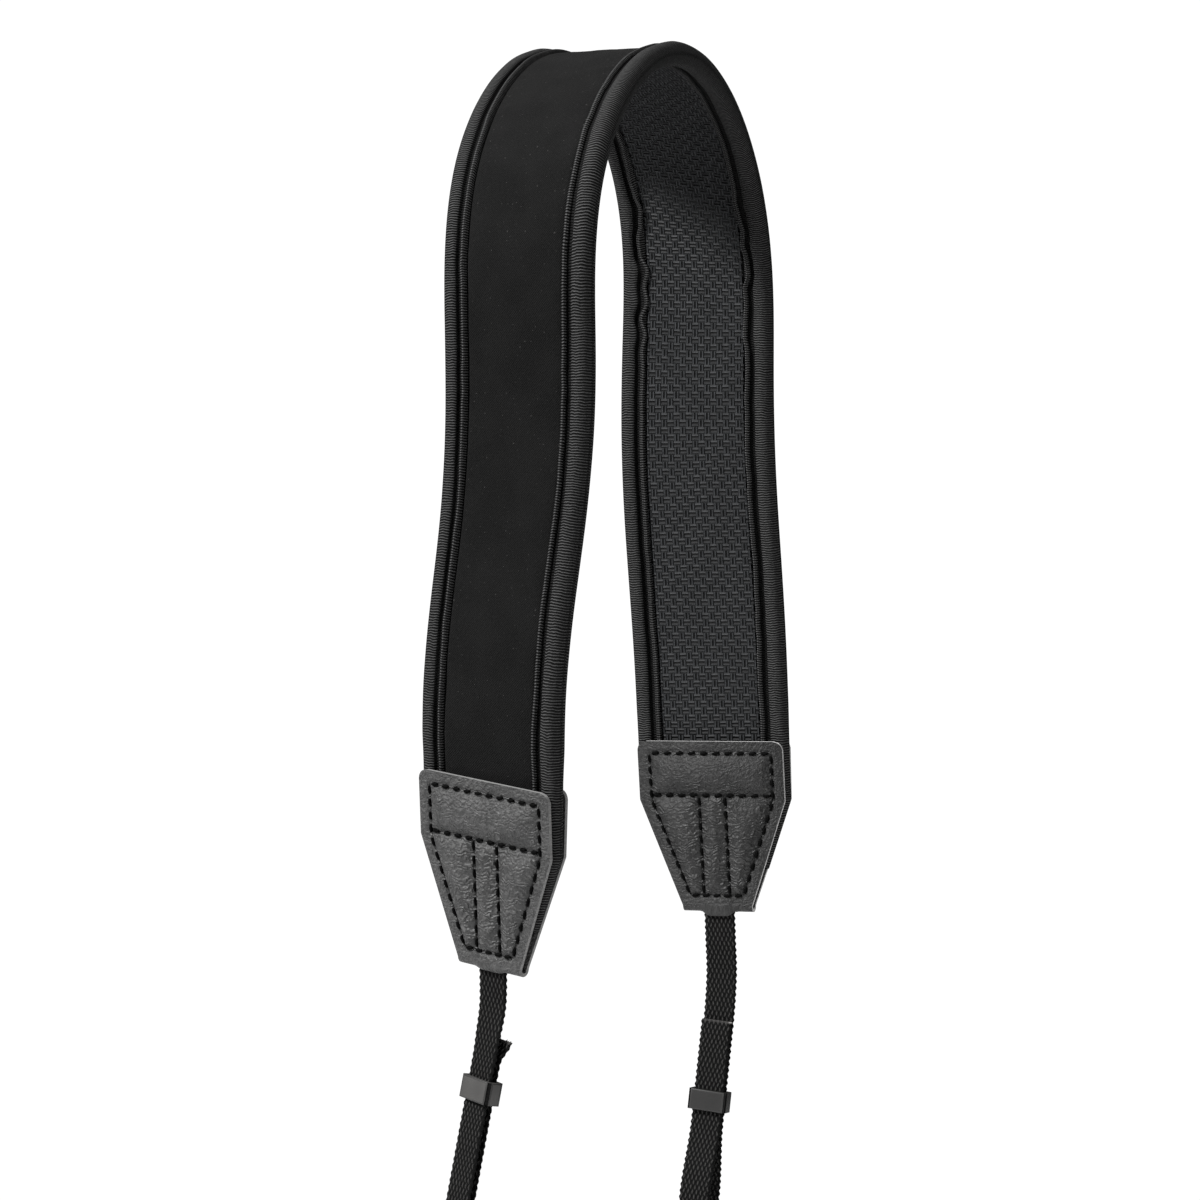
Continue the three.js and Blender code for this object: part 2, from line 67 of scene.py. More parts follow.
# %% The strap line
STRAP_LINE = np.array([
    (-480, 90, 0, 0), (-412, 90, 0, 0), (-374, 85.3, -8.8, -26.1), (-332, 85.3, -8.8, -26.1),
    (-306, 97.9, -3, -17.7), (-250, 97.9, -3, -17.7), (-195, 81.3, -3.4, -16.6),
    (-130, 90.2, 1.4, -13.1), (-65, 42.6, 4.1, -13.2), (0, 0.6, 3.8, -12.7),
    (65, -44.8, 3.1, -8.5), (130, -89.3, 0.5, -0.2), (195, -82.5, -1.8, 3.7),
    (250, -87.1, -1.7, 1.5), (306, -87.1, -1.7, 1.5), (345, -93.7, 4.3, 0.9),
    (396, -93.7, 4.3, 0.9), (416, -90, 0, 0), (480, -90, 0, 0),
])
LINE_REACH = 490
LINE_HEIGHT = 2.0
PITCH, LEAN, YAW = 1, 2, 3


def row_slopes(x, y):
    gap = np.diff(x)
    rise = np.diff(y) / gap
    before = 2 * gap[1:] + gap[:-1]
    after = gap[1:] + 2 * gap[:-1]
    same_way = rise[:-1] * rise[1:] > 0
    safe_first = np.where(same_way, rise[:-1], 1)
    safe_second = np.where(same_way, rise[1:], 1)
    slopes = np.zeros_like(y)
    slopes[1:-1] = np.where(same_way, (before + after) / (before / safe_first + after / safe_second), 0)
    return slopes


def line_value(column, along):
    x, y = STRAP_LINE[:, 0], STRAP_LINE[:, column]
    slopes = row_slopes(x, y)
    inside = np.clip(along, x[0], x[-1])
    row = np.clip(np.searchsorted(x, inside) - 1, 0, len(x) - 2)
    length = x[row + 1] - x[row]
    part = (inside - x[row]) / length
    rest = 1 - part
    ends = rest**2 * (1 + 2 * part) * y[row] + part**2 * (1 + 2 * rest) * y[row + 1]
    return ends + part * rest * length * (rest * slopes[row] - part * slopes[row + 1])


def directions(along):
    pitch = np.radians(line_value(PITCH, along))
    lean = np.radians(line_value(LEAN, along))
    return np.column_stack([np.cos(lean) * np.cos(pitch), np.sin(lean), np.cos(lean) * np.sin(pitch)])


def walk(side):
    steps = side * directions(side * (np.arange(LINE_REACH) + 0.5))
    start = np.array([[0, 0, LINE_HEIGHT]])
    return np.vstack([start, start + np.cumsum(steps, axis=0)])


LINE_AT = np.arange(-LINE_REACH, LINE_REACH + 1)
LINE_POINTS = np.vstack([walk(-1)[:0:-1], walk(1)])


def drape(flat):
    along, across, outward = flat.T
    centre = np.column_stack([np.interp(along, LINE_AT, LINE_POINTS[:, axis]) for axis in range(3)])
    forward = directions(along)
    yaw = np.radians(line_value(YAW, along))
    side = np.column_stack([np.sin(yaw), -np.cos(yaw), np.zeros_like(yaw)])
    side -= (side * forward).sum(axis=1)[:, None] * forward
    side /= np.linalg.norm(side, axis=1)[:, None]
    out = np.cross(side, forward)
    return (centre + across[:, None] * side + outward[:, None] * out) / 1000


print("loop foot of the near leg", drape(np.array([[-480.0, 0, 0]])).round(4).tolist())

# %% [markdown]
# ## From a flat mesh to a finished piece
# A flat bmesh becomes a mesh, its points are moved by the piece's own rule and hung on the line, and its
# place on the strap is kept as an attribute, so that ribs and weave follow the cloth. Moving the points
# of one array at a time is much quicker than a loop over a hundred thousand vertices.

# %% Making a piece
SHARP_ANGLE = math.radians(38)


def show(name, mesh, finishes, body="root", nodes=()):
    for finish in finishes:
        mesh.materials.append(finish)
    mesh.shade_smooth()
    mesh.set_sharp_from_angle(angle=SHARP_ANGLE)
    piece = bpy.data.objects.new(name, mesh)
    bpy.context.collection.objects.link(piece)
    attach(piece, body)
    if nodes:
        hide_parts(*nodes)
    triangles = sum(len(face.vertices) - 2 for face in mesh.polygons)
    print(name, "has", triangles, "triangles and rides on", body)
    return piece


def hang(name, bm, place, finishes, body="root", nodes=()):
    mesh = bpy.data.meshes.new(name)
    bm.to_mesh(mesh)
    bm.free()
    points = np.empty(len(mesh.vertices) * 3)
    mesh.vertices.foreach_get("co", points)
    flat, pattern = place(points.reshape(-1, 3))
    mesh.vertices.foreach_set("co", drape(flat).ravel())
    layer = mesh.attributes.new("strap", "FLOAT_VECTOR", "POINT")
    layer.data.foreach_set("vector", pattern.ravel())
    turned = bmesh.new()
    turned.from_mesh(mesh)
    bmesh.ops.recalc_face_normals(turned, faces=turned.faces)
    turned.to_mesh(mesh)
    turned.free()
    return show(name, mesh, finishes, body, nodes)


def prism(section, start, end, cuts):
    """A section of (across, outward) points, extruded from start to end and cut into rings."""
    bm = bmesh.new()
    face = bm.faces.new([bm.verts.new((start, across, outward)) for across, outward in section])
    made = bmesh.ops.extrude_face_region(bm, geom=[face])["geom"]
    moved = [item for item in made if isinstance(item, bmesh.types.BMVert)]
    bmesh.ops.translate(bm, verts=moved, vec=(end - start, 0, 0))
    rails = [edge for edge in bm.edges if abs(edge.verts[0].co.x - edge.verts[1].co.x) > 1]
    bmesh.ops.subdivide_edges(bm, edges=rails, cuts=cuts, use_grid_fill=True)
    return bm


def slab(columns, rows, hole=None):
    """A unit grid from 0 to 1 both ways, without the faces that hole picks, given a height of 1."""
    bm = bmesh.new()
    bmesh.ops.create_grid(bm, x_segments=columns, y_segments=rows, size=0.5)
    bmesh.ops.translate(bm, verts=bm.verts, vec=(0.5, 0.5, 0))
    if hole:
        cut = [face for face in bm.faces if hole(face.calc_center_median())]
        bmesh.ops.delete(bm, geom=cut, context="FACES")
    made = bmesh.ops.extrude_face_region(bm, geom=list(bm.faces))["geom"]
    moved = [item for item in made if isinstance(item, bmesh.types.BMVert)]
    bmesh.ops.translate(bm, verts=moved, vec=(0, 0, 1))
    return bm


def smoothstep(value, low, high):
    part = np.clip((value - low) / (high - low), 0, 1)
    return part * part * (3 - 2 * part)


def wander(along, pitch, seed):
    """A smooth random line between -1 and 1, with a new turn every pitch millimetres."""
    heights = np.random.default_rng(seed).uniform(-1, 1, int(2 * LINE_REACH / pitch) + 3)
    place = (along + LINE_REACH) / pitch
    step = np.floor(place).astype(int)
    part = place - step
    blend = part * part * (3 - 2 * part)
    return heights[step] * (1 - blend) + heights[step + 1] * blend


# %% [markdown]
# ## Writing finishes as sums
# A pattern such as a row of ribs is arithmetic on the place along the strap. Laying out the Math nodes by
# hand hides the formula, so a small class wraps a socket and lets it be added and multiplied in Python.

# %% Finishes in Python
class Number:
    """A socket that holds a number; each operator adds one Math node."""

    def __init__(self, finish, socket):
        self.finish = finish
        self.socket = socket

    def math(self, operation, *others):
        inputs = dict(enumerate((self, *others)))
        return self.finish.node("ShaderNodeMath", {"operation": operation}, inputs)

    def flipped(self, operation, other):
        return self.finish.node("ShaderNodeMath", {"operation": operation}, {0: other, 1: self})

    def __add__(self, other):
        return self.math("ADD", other)

    def __sub__(self, other):
        return self.math("SUBTRACT", other)

    def __mul__(self, other):
        return self.math("MULTIPLY", other)

    def __truediv__(self, other):
        return self.math("DIVIDE", other)

    def __rsub__(self, other):
        return self.flipped("SUBTRACT", other)

    __radd__ = __add__
    __rmul__ = __mul__

    def ramp(self, low, high):
        settings = {"interpolation_type": "SMOOTHSTEP"}
        return self.finish.node("ShaderNodeMapRange", settings, {0: self, 1: low, 2: high, 3: 0, 4: 1})


class Finish:
    """A material with one Principled shader, and the strap's own coordinates in millimetres."""

    def __init__(self, name, **constants):
        self.material = bpy.data.materials.new(name)
        self.material.use_nodes = True
        self.tree = self.material.node_tree
        self.shader = self.tree.nodes["Principled BSDF"]
        for socket, value in constants.items():
            self.shader.inputs[socket.replace("_", " ")].default_value = value

    def node(self, kind, settings=None, inputs=None, output=0):
        made = self.tree.nodes.new(kind)
        for name, value in (settings or {}).items():
            setattr(made, name, value)
        for key, value in (inputs or {}).items():
            self.feed(made.inputs[key], value)
        return Number(self, made.outputs[output])

    def feed(self, socket, value):
        if isinstance(value, Number):
            self.tree.links.new(value.socket, socket)
        else:
            socket.default_value = value

    def strap_place(self):
        place = self.node("ShaderNodeAttribute", {"attribute_name": "strap"}, output="Vector")
        parts = self.tree.nodes.new("ShaderNodeSeparateXYZ")
        self.tree.links.new(place.socket, parts.inputs[0])
        return place, [Number(self, parts.outputs[axis]) for axis in range(3)]

    def objects_place(self):
        return self.node("ShaderNodeTexCoord", output="Object")

    def noise(self, vector, scale, detail=2.0, roughness=0.5):
        inputs = {"Vector": vector, "Scale": scale, "Detail": detail, "Roughness": roughness}
        return self.node("ShaderNodeTexNoise", None, inputs)

    def stretched(self, vector, factors):
        return self.node("ShaderNodeVectorMath", {"operation": "MULTIPLY"}, {0: vector, 1: factors})

    def mixed(self, share, first, second):
        settings = {"data_type": "RGBA"}
        return self.node("ShaderNodeMix", settings, {0: share, 6: first, 7: second}, output=2)

    def use(self, colour=None, roughness=None, height=None, depth=0.0002, strength=1.0):
        if colour is not None:
            self.feed(self.shader.inputs["Base Color"], colour)
        if roughness is not None:
            self.feed(self.shader.inputs["Roughness"], roughness)
        if height is not None:
            inputs = {"Height": height, "Distance": depth, "Strength": strength}
            self.feed(self.shader.inputs["Normal"], self.node("ShaderNodeBump", None, inputs))
        return self.material


def grey(level, warmth=0.0):
    return (level * (1 + warmth), level, level * (1 - warmth), 1)


# %% [markdown]
# ## The neck band's outer face
# The outer face is foam with a dense knitted skin. It is matte and nearly black, with a fine knit and a
# few pale specks of lint. Noise at two sizes gives the knit and the specks.

# %% Neoprene finish
def neoprene_finish():
    finish = Finish("neoprene_knit", Specular_IOR_Level=0.12, Sheen_Weight=0.02, Sheen_Roughness=0.5)
    place, (along, across, _) = finish.strap_place()
    knit = (along * 8.4).math("SINE") * (across * 8.4).math("SINE")
    cloud = finish.noise(place, 0.09, 3.0)
    grain = finish.noise(place, 2.2, 3.0, 0.7)
    speck = finish.noise(place, 1.3, 1.0).ramp(0.72, 0.78)
    shade = cloud.ramp(0.3, 0.72) * 0.3 + grain.ramp(0.3, 0.7) * 0.7
    cloth = finish.mixed(shade, grey(0.0008), grey(0.008, 0.01))
    colour = finish.mixed(speck * 0.5, cloth, grey(0.07, 0.03))
    return finish.use(colour, 0.82 + grain * 0.16, knit * 0.35 + grain, 0.0003, 0.8)


NEOPRENE = neoprene_finish()
print("finish", NEOPRENE.name)

# %% [markdown]
# ## The lining's embossing
# The lining is a non-slip sheet pressed like a basket weave: small cells with two ridges each, lengthwise
# in one cell and crosswise in the next. The cell's number along and across says which way its ridges run.
# The ridges are painted lighter as painted highlight, and the grooves nearly black as painted shade.

# %% Lining finish
EMBOSS = {"along": 2.13, "across": 2.03}


def lining_finish():
    finish = Finish("grip_emboss", Specular_IOR_Level=0.22)
    place, (along, across, _) = finish.strap_place()
    drift = finish.noise(place, 0.05, 1.0) * 0.6
    row = along / EMBOSS["along"] + drift
    column = across / EMBOSS["across"] + 0.5
    row_part = row.math("FRACT") - 0.5
    column_part = column.math("FRACT") - 0.5
    cells = row.math("FLOOR") + column.math("FLOOR")
    crosswise = (cells * 0.5).math("FRACT").math("GREATER_THAN", 0.25)
    from_row, from_column = row_part.math("ABSOLUTE"), column_part.math("ABSOLUTE")
    ridge_across = 0.5 - (row_part * (4 * math.pi)).math("COSINE") * 0.5
    ridge_along = 0.5 - (column_part * (4 * math.pi)).math("COSINE") * 0.5
    dash = from_row.ramp(0.26, 0.1) * from_column.ramp(0.6, 0.45)
    bar = from_column.ramp(0.15, 0.05) * from_row.ramp(0.5, 0.4)
    ridges = crosswise * ridge_across * 0.8 + (1 - crosswise) * ridge_along
    groove_and_painted_shade = crosswise * dash + (1 - crosswise) * bar * 0.85
    cloud = finish.noise(place, 0.8, 3.0, 0.6)
    # The ridges are painted lighter, as painted highlight.
    ground = finish.mixed(cloud.ramp(0.3, 0.7) * 0.4 + ridges * 0.6, (0.005, 0.0054, 0.006, 1),
                          (0.052, 0.0542, 0.0575, 1))
    # The grooves between the ridges are painted nearly black, as painted shade.
    colour = finish.mixed(groove_and_painted_shade * 0.97, ground, (0.0014, 0.0016, 0.002, 1))
    return finish.use(colour, 0.62 - ridges * 0.1, ridges * 0.8 - groove_and_painted_shade, 0.001, 1.0)


LINING = lining_finish()
print("finish", LINING.name)

# %% [markdown]
# ## The edge tape
# A ribbed tape is rolled round each edge. Its ribs run across it, about four to three millimetres, and its
# woven selvedge shows as a row of beads beside the sewn groove. Ribs and beads are painted dark in their
# valleys and light on their crests, and the groove is painted almost black: painted shade and highlight.
# The third strap coordinate of the tape holds a zone number, which tells selvedge, groove and roll apart.

# %% Tape finish
RIB_PITCH = 0.75


def tape_finish():
    finish = Finish("ribbed_tape", Specular_IOR_Level=0.16)
    place, (along, across, zone) = finish.strap_place()
    slant = finish.noise(finish.stretched(place, (0.16, 0.4, 0.0)), 1.0, 2.0) * 1.6
    turn = (along / RIB_PITCH + slant) * (2 * math.pi)
    rib = turn.math("SINE") * 0.5 + 0.5
    fibre = finish.noise(finish.stretched(place, (3.2, 0.8, 0.8)), 1.0, 2.0)
    beads = ((across * 6.2).math("SINE") * 0.15 + 0.85) * (rib * 0.6 + 0.4)
    selvedge = zone.ramp(0.5, 0.9)
    # The sewn groove is painted almost black, as painted shade.
    groove_and_painted_shade = zone.ramp(0.15, -0.5)
    height = rib * (1 - selvedge) + beads * selvedge
    # The ribs and selvedge beads are painted dark in their valleys and light on their crests, as painted
    # shade and highlight.
    shade = height.ramp(0.5, 0.95) * (0.2 + fibre * 1.3)
    cloth = finish.mixed(shade, grey(0.0002), grey(0.105))
    colour = finish.mixed(groove_and_painted_shade, cloth, grey(0.0002))
    return finish.use(colour, 0.7, height + fibre * 0.3, 0.0004, 0.9)


TAPE = tape_finish()
print("finish", TAPE.name)

# %% [markdown]
# ## Leather
# The tabs are a charcoal leather with a fine pebble grain. Where the sewing gathers it, short creases run
# across the panels, painted darker in their lines and lighter on their crests as painted shade and
# highlight. The third strap coordinate is the closeness to a seam, so the creases fade away from it, and
# close to each seam the leather is painted nearly black as painted shade in the seam valley. The far tab is
# bowed, so its height also falls with the square of the distance from the middle. The cut edge is raw and
# pale. The near and far tabs are one leather, painted lighter on the near tab and darker on the far one as
# painted light and shade, and the far cut edge is painted paler than the near one in the same way.

# %% Leather finishes
CREASE_PITCH = 1.35


def leather_finish(name, level, bow):
    finish = Finish(name, Specular_IOR_Level=0.3)
    place, (along, across, seam) = finish.strap_place()
    warp = finish.noise(place, 0.3, 2.0)
    breaks = finish.noise(place, 0.45, 2.0).ramp(0.3, 0.6)
    turn = (along / CREASE_PITCH + warp * 4.5) * (2 * math.pi)
    crease = (turn.math("SINE") * 0.5 + 0.5) * breaks
    pebble = finish.noise(place, 0.95, 3.0, 0.6).ramp(0.34, 0.66)
    gather = seam.ramp(0.04, 0.6)
    cloud = finish.noise(place, 0.1, 2.0)
    grain = crease * (0.35 + gather * 0.65) + pebble * (0.4 - gather * 0.3)
    # The crease lines are painted darker and their crests lighter, as painted shade and highlight; the pebble
    # and the cloud are the leather's own uneven tone.
    grain_and_crease_shade = grain * 0.7 + cloud.ramp(0.3, 0.7) * 0.25
    hide = finish.mixed(grain_and_crease_shade, grey(level * 0.5), grey(level * 1.7, 0.006))
    # Close to each seam the leather is painted nearly black, as painted shade in the seam valley.
    seam_shade = seam.ramp(0.86, 1.0)
    colour = finish.mixed(seam_shade * 0.92, hide, grey(level * 0.06))
    height = grain * 0.55 - across * across * bow
    return finish.use(colour, 0.52 - grain_and_crease_shade * 0.08, height, 0.001, 1.0)


def cut_edge_finish(name, level):
    finish = Finish(name, Specular_IOR_Level=0.3)
    place, _ = finish.strap_place()
    fibres = finish.noise(place, 2.2, 3.0)
    colour = finish.mixed(fibres.ramp(0.3, 0.7), grey(level * 0.7), grey(level, 0.015))
    return finish.use(colour, 0.8, fibres, 0.00015, 0.6)


# The near and far tabs are one leather: the near copy is painted lighter and the far copy darker, as painted
# light and shade, and the far cut edge is painted paler than the near one in the same way.
LEATHER_LEVEL = {"near": 0.078, "far": 0.04}
LEATHER_BOW = {"near": 0.0, "far": 0.012}
LEATHER = {leg: leather_finish(f"leather_{leg}", level, LEATHER_BOW[leg])
           for leg, level in LEATHER_LEVEL.items()}
CUT_EDGE = {"near": cut_edge_finish("cut_edge_near", 0.26), "far": cut_edge_finish("cut_edge_far", 0.7)}
print("finishes", [material.name for material in (*LEATHER.values(), *CUT_EDGE.values())])

# %% [markdown]
# ## Webbing, thread and plastic
# The webbing's lumps are real geometry, so its finish only adds the fine yarn, painted shade in the valleys
# between the lumps, and a paler cut end. Thread is black and slightly shiny, and the moulded keepers are
# satin grey, painted lighter on the near keeper and darker on the far one as painted light and shade.

# %% Webbing, thread and plastic finishes
def webbing_finish():
    finish = Finish("webbing_yarn", Specular_IOR_Level=0.15)
    place, (_, _, lump) = finish.strap_place()
    yarn = finish.noise(finish.stretched(place, (0.9, 5.0, 0.0)), 1.0, 2.0)
    tint = finish.noise(place, 0.8, 1.0)
    # Between the lumps the yarn is painted dark, as painted shade in the valleys.
    shade = lump.ramp(0.55, 1.0) * (yarn * 1.7 - 0.15)
    cloth = finish.mixed(shade, grey(0.0002), grey(0.062, 0.03))
    # Values past 1.2 paint the cut end paler.
    colour = finish.mixed(lump.ramp(1.2, 2.0), cloth, grey(0.42, 0.04))
    return finish.use(colour, 0.68 + tint * 0.14, yarn, 0.00012, 0.6)


def thread_finish():
    finish = Finish("black_thread", Specular_IOR_Level=0.05)
    place = finish.objects_place()
    twist = finish.noise(place, 2600.0, 1.0)
    return finish.use(finish.mixed(twist, grey(0.0004), grey(0.003)), 0.7, twist, 0.0001, 0.6)


def plastic_finish(name, level):
    finish = Finish(name, Specular_IOR_Level=0.42)
    place = finish.objects_place()
    texture = finish.noise(place, 1500.0, 2.0)
    haze = finish.noise(place, 130.0, 2.0)
    colour = finish.mixed(haze.ramp(0.3, 0.7), grey(level * 0.9, 0.02), grey(level * 1.08, 0.025))
    return finish.use(colour, 0.42 + texture * 0.14, texture, 0.00006, 0.45)


def fray_finish():
    finish = Finish("pale_fibre", Specular_IOR_Level=0.3)
    fibres = finish.noise(finish.objects_place(), 900.0, 1.0)
    return finish.use(finish.mixed(fibres, grey(0.004, 0.03), grey(0.03, 0.03)), 0.7)


WEBBING = webbing_finish()
THREAD = thread_finish()
FRAY = fray_finish()
# The two keepers are one plastic: the near copy is painted lighter and the far copy darker, as painted light
# and shade.
KEEPER_PLASTIC = {"near": plastic_finish("satin_grey_painted_light", 0.07), "far": plastic_finish("satin_grey_painted_shade", 0.026)}
ADJUSTER_PLASTIC = plastic_finish("satin_black", 0.03)
# The keepers' corner grooves are painted nearly black, as painted shadow.
SHADOW_LINE_PAINT = plastic_finish("shadow_line", 0.0008)
RIM_PLASTIC = plastic_finish("moulded_rim", 0.034)
print("finishes", WEBBING.name, THREAD.name, FRAY.name)

# %% [markdown]
# ## Sizes of the band and its tabs
# These repeat the source: the band is 50 mm wide, and it narrows and is squeezed inside the tabs.

# %% Band and tab sizes
BAND_HALF = 25.0
TAB_TOP, TAB_LENGTH, TAB_STRAIGHT = 250.4, 53.7, 18.5
TAB_HALF, TAB_FOOT_HALF = 24.0, 10.75
TAB_MOUTH, FOLD_RADIUS, LEATHER_THICK = 3.05, 1.9, 1.0
SQUEEZE_LENGTH, SEAT_GAP = 12.0, 0.3
FACE_EDGE = 16.4


def tab_half(down):
    part = np.clip((down - TAB_STRAIGHT) / (TAB_LENGTH - TAB_STRAIGHT), 0, 1)
    return TAB_HALF + (TAB_FOOT_HALF - TAB_HALF) * part


def flap_inside(down):
    part = np.clip(down / (TAB_LENGTH - FOLD_RADIUS), 0, 1)
    return TAB_MOUTH + (FOLD_RADIUS - LEATHER_THICK - TAB_MOUTH) * part


def in_band(flat):
    """Narrows and squeezes full-width band points where the band goes into its tabs."""
    along, across, outward = flat.T
    down = np.abs(along) - TAB_TOP
    narrowed = TAB_HALF - tab_half(down)
    size = np.abs(across)
    inner = size * (FACE_EDGE - narrowed) / FACE_EDGE
    tapered = np.sign(across) * np.where(size > FACE_EDGE, size - narrowed, inner)
    squeezed = (flap_inside(down) - SEAT_GAP) / 3.5
    squeeze = 1 + (squeezed - 1) * smoothstep(down, -SQUEEZE_LENGTH, 0)
    return np.column_stack([along, tapered, outward * squeeze])


print("tab foot is", 2 * TAB_FOOT_HALF, "mm wide")

# %% [markdown]
# ## Pad and lining
# The foam pad is a low crowned bar whose edges step down under the tape. It is far stiffer than a filled
# cushion and shows no folds, so a section is extruded along the strap instead of a cloth simulation.

# %% Pad and lining
PAD_END = TAB_TOP + 22.0
FACE_STOPS = np.linspace(-15.4, 15.4, 15)
PAD_RINGS = 360
SAG, RIPPLE = 0.12, 0.1


def pad_section():
    crown = [(across, 2.05 + 0.28 * (1 - (across / FACE_EDGE) ** 2)) for across in FACE_STOPS]
    left = [(-22.8, -0.4), (-22.8, 1.3), (-16.4, 1.3), (-16.25, 1.75), (-15.95, 1.97)]
    right = [(-across, outward) for across, outward in reversed(left)]
    return left + crown + right


def lining_section():
    left = [(-22.8, -0.7), (-22.8, -1.3), (-16.4, -1.3), (-16.25, -1.7), (-15.9, -1.95)]
    face = [(across, -2.0) for across in FACE_STOPS]
    right = [(-across, outward) for across, outward in reversed(left)]
    return left + face + right


def place_layer(points):
    along, across, outward = points.T
    sag = SAG * wander(along, 26, 11) + RIPPLE * wander(along + 3 * across, 9, 12)
    soft = outward + sag * np.sign(outward) * (np.abs(outward) > 1.6)
    return in_band(np.column_stack([along, across, soft])), points


pad = hang("neck_pad", prism(pad_section(), -PAD_END, PAD_END, PAD_RINGS), place_layer,
           [NEOPRENE], nodes=["neoprene_pad"])
lining = hang("neck_lining", prism(lining_section(), -PAD_END, PAD_END, PAD_RINGS), place_layer,
              [LINING], nodes=["grip_lining"])

# %% [markdown]
# ## Edge bindings
# Each tape wraps an edge of the band and is sewn through in a groove on both faces. One closed section is
# extruded along the edge. Random lines then move the groove and selvedge a little, because no sewn edge
# runs dead straight. A zone number goes into the attribute: 1 on the selvedge, -1 in the groove.

# %% Edge bindings
BINDING_END = TAB_TOP + 40.0
BINDING_RINGS = 580
BORE = (23.1, 1.6)
SELVEDGE_SWAY, SELVEDGE_RIPPLE, TAPE_SWELL = 0.3, 0.14, 0.12
KINK_SIZE, KINK_AT, KINK_REACH = 1.3, 100, 32
BINDING_HALF_SECTION = [
    # inset from the edge, height, zone
    (8.3, 1.6, 0), (8.32, 2.5, 0), (8.2, 2.9, 1), (7.9, 3.15, 1), (7.5, 3.2, 1), (7.15, 3.0, 1),
    (6.92, 2.5, 0.2), (6.75, 1.95, -1), (6.3, 1.75, -1), (5.6, 1.75, -1), (5.25, 2.2, -1),
    (5.05, 2.75, 0), (4.55, 3.2, 0), (3.7, 3.43, 0), (2.8, 3.5, 0), (2.0, 3.3, 0), (1.3, 2.86, 0),
    (0.72, 2.2, 0), (0.3, 1.4, 0), (0.06, 0.5, 0),
]


def binding_section():
    top = [(BAND_HALF - inset, height) for inset, height, _ in BINDING_HALF_SECTION]
    under = [(across, -outward) for across, outward in reversed(top)]
    return top + under + [(BORE[0], -BORE[1]), (BORE[0], BORE[1])]


def place_binding(edge_side, seed):
    zones = sorted((inset, zone) for inset, _, zone in BINDING_HALF_SECTION)
    insets, zone_values = zip(*zones)

    def place(points):
        along, across, outward = points.T
        inset = BAND_HALF - across
        face = np.sign(outward)
        bore = np.isclose(np.abs(outward), BORE[1])
        loose = smoothstep(inset, 3.5, 6.5) * ~bore
        sway = SELVEDGE_SWAY * wander(along + 40 * face, 17, seed)
        sway += SELVEDGE_RIPPLE * wander(along + 9 * face, 5, seed + 1)
        kinks = np.exp(-(((np.abs(along) - KINK_AT) / KINK_REACH) ** 2)) * (face < 0)
        sway += KINK_SIZE * wander(along, 5, seed + 3) * kinks
        swell = TAPE_SWELL * wander(along + 25 * face, 12, seed + 2) * ~bore
        moved = np.column_stack([
            along, edge_side * (across + sway * loose), outward + face * swell * smoothstep(inset, 0.3, 2),
        ])
        # The zone lets the tape finish paint the groove almost black, as painted shade.
        zone = np.interp(inset, insets, zone_values) * (np.abs(outward) > BORE[1] + 0.05)
        return in_band(moved), np.column_stack([along, across * face, zone])

    return place


for edge_name, edge_side, seed in (("front", 1, 21), ("back", -1, 31)):
    hang(f"binding_{edge_name}", prism(binding_section(), -BINDING_END, BINDING_END, BINDING_RINGS),
         place_binding(edge_side, seed), [TAPE], nodes=[f"edge_binding_{edge_name}"])

# %% [markdown]
# ## Leather tabs
# Each tab is one sheet of leather folded round the end of the band, with a slot in the fold for the
# webbing. A grid is given thickness and then bent: down the outer flap, round the fold and up the inner
# flap. The leather puffs up between its seams and is drawn in at them, which is a sum of soft steps.

# %% Tabs
STITCH_INSET, CROSS_STITCH, CHANNEL_STITCH, FOOT_STITCH = 3.8, 17.0, 4.3, 48.5
PUFF, PUFF_REACH, SEAM_DEPTH, SEAM_WIDTH, TAB_CORNER = 1.75, 3.2, 0.45, 0.75, 3.0
CREASE_HEIGHT, CREASE_REACH = 0.06, 3.5
TUBE_HALF, TUBE_LIFT = 4.9, 0.45
# SEAM_MARK sets the width of the painted seam shade, and of the crease gathering near every seam.
SEAM_MARK, GATHER_SHARE, GATHER_REACH = 0.42, 0.8, 4.5
UPRIGHT_LENGTH = 20
TAB_GRID = (240, 100)
FLAP = TAB_LENGTH - FOLD_RADIUS
FOLD_RUN = math.pi * 1.4
SHEET_RUN = 2 * FLAP + FOLD_RUN
SLOT_HALF = 5.3
LEGS = {"near": (-1, 0.3), "far": (1, 1.5)}


def seam_lines():
    """The seams of a flap, as pairs of (down, across) ends."""
    edge = TAB_HALF - STITCH_INSET
    foot = tab_half(FOOT_STITCH) - STITCH_INSET
    border = [(STITCH_INSET, -edge), (TAB_STRAIGHT, -edge), (FOOT_STITCH, -foot), (FOOT_STITCH, foot),
              (TAB_STRAIGHT, edge), (STITCH_INSET, edge), (STITCH_INSET, -edge)]
    lines = list(zip(border, border[1:]))
    lines.append(((CROSS_STITCH, -edge), (CROSS_STITCH, edge)))
    for across in (-CHANNEL_STITCH, CHANNEL_STITCH):
        lines.append(((CROSS_STITCH, across), (FOOT_STITCH, across)))
    return lines


def distance_to(line, down, across):
    (from_down, from_across), (to_down, to_across) = line
    run, drift = to_down - from_down, to_across - from_across
    part = ((down - from_down) * run + (across - from_across) * drift) / (run**2 + drift**2)
    part = np.clip(part, 0, 1)
    return np.hypot(down - from_down - part * run, across - from_across - part * drift)


def seam_distances(down, across):
    lines = seam_lines()
    nearest = np.minimum.reduce([distance_to(line, down, across) for line in lines])
    upright = [line for line in lines if abs(line[1][0] - line[0][0]) > UPRIGHT_LENGTH]
    gathered = np.minimum.reduce([distance_to(line, down, across) for line in upright])
    to_edge = np.minimum(tab_half(down) - np.abs(across), down) - STITCH_INSET
    return nearest, gathered, (to_edge > 0) & (down < FOOT_STITCH)


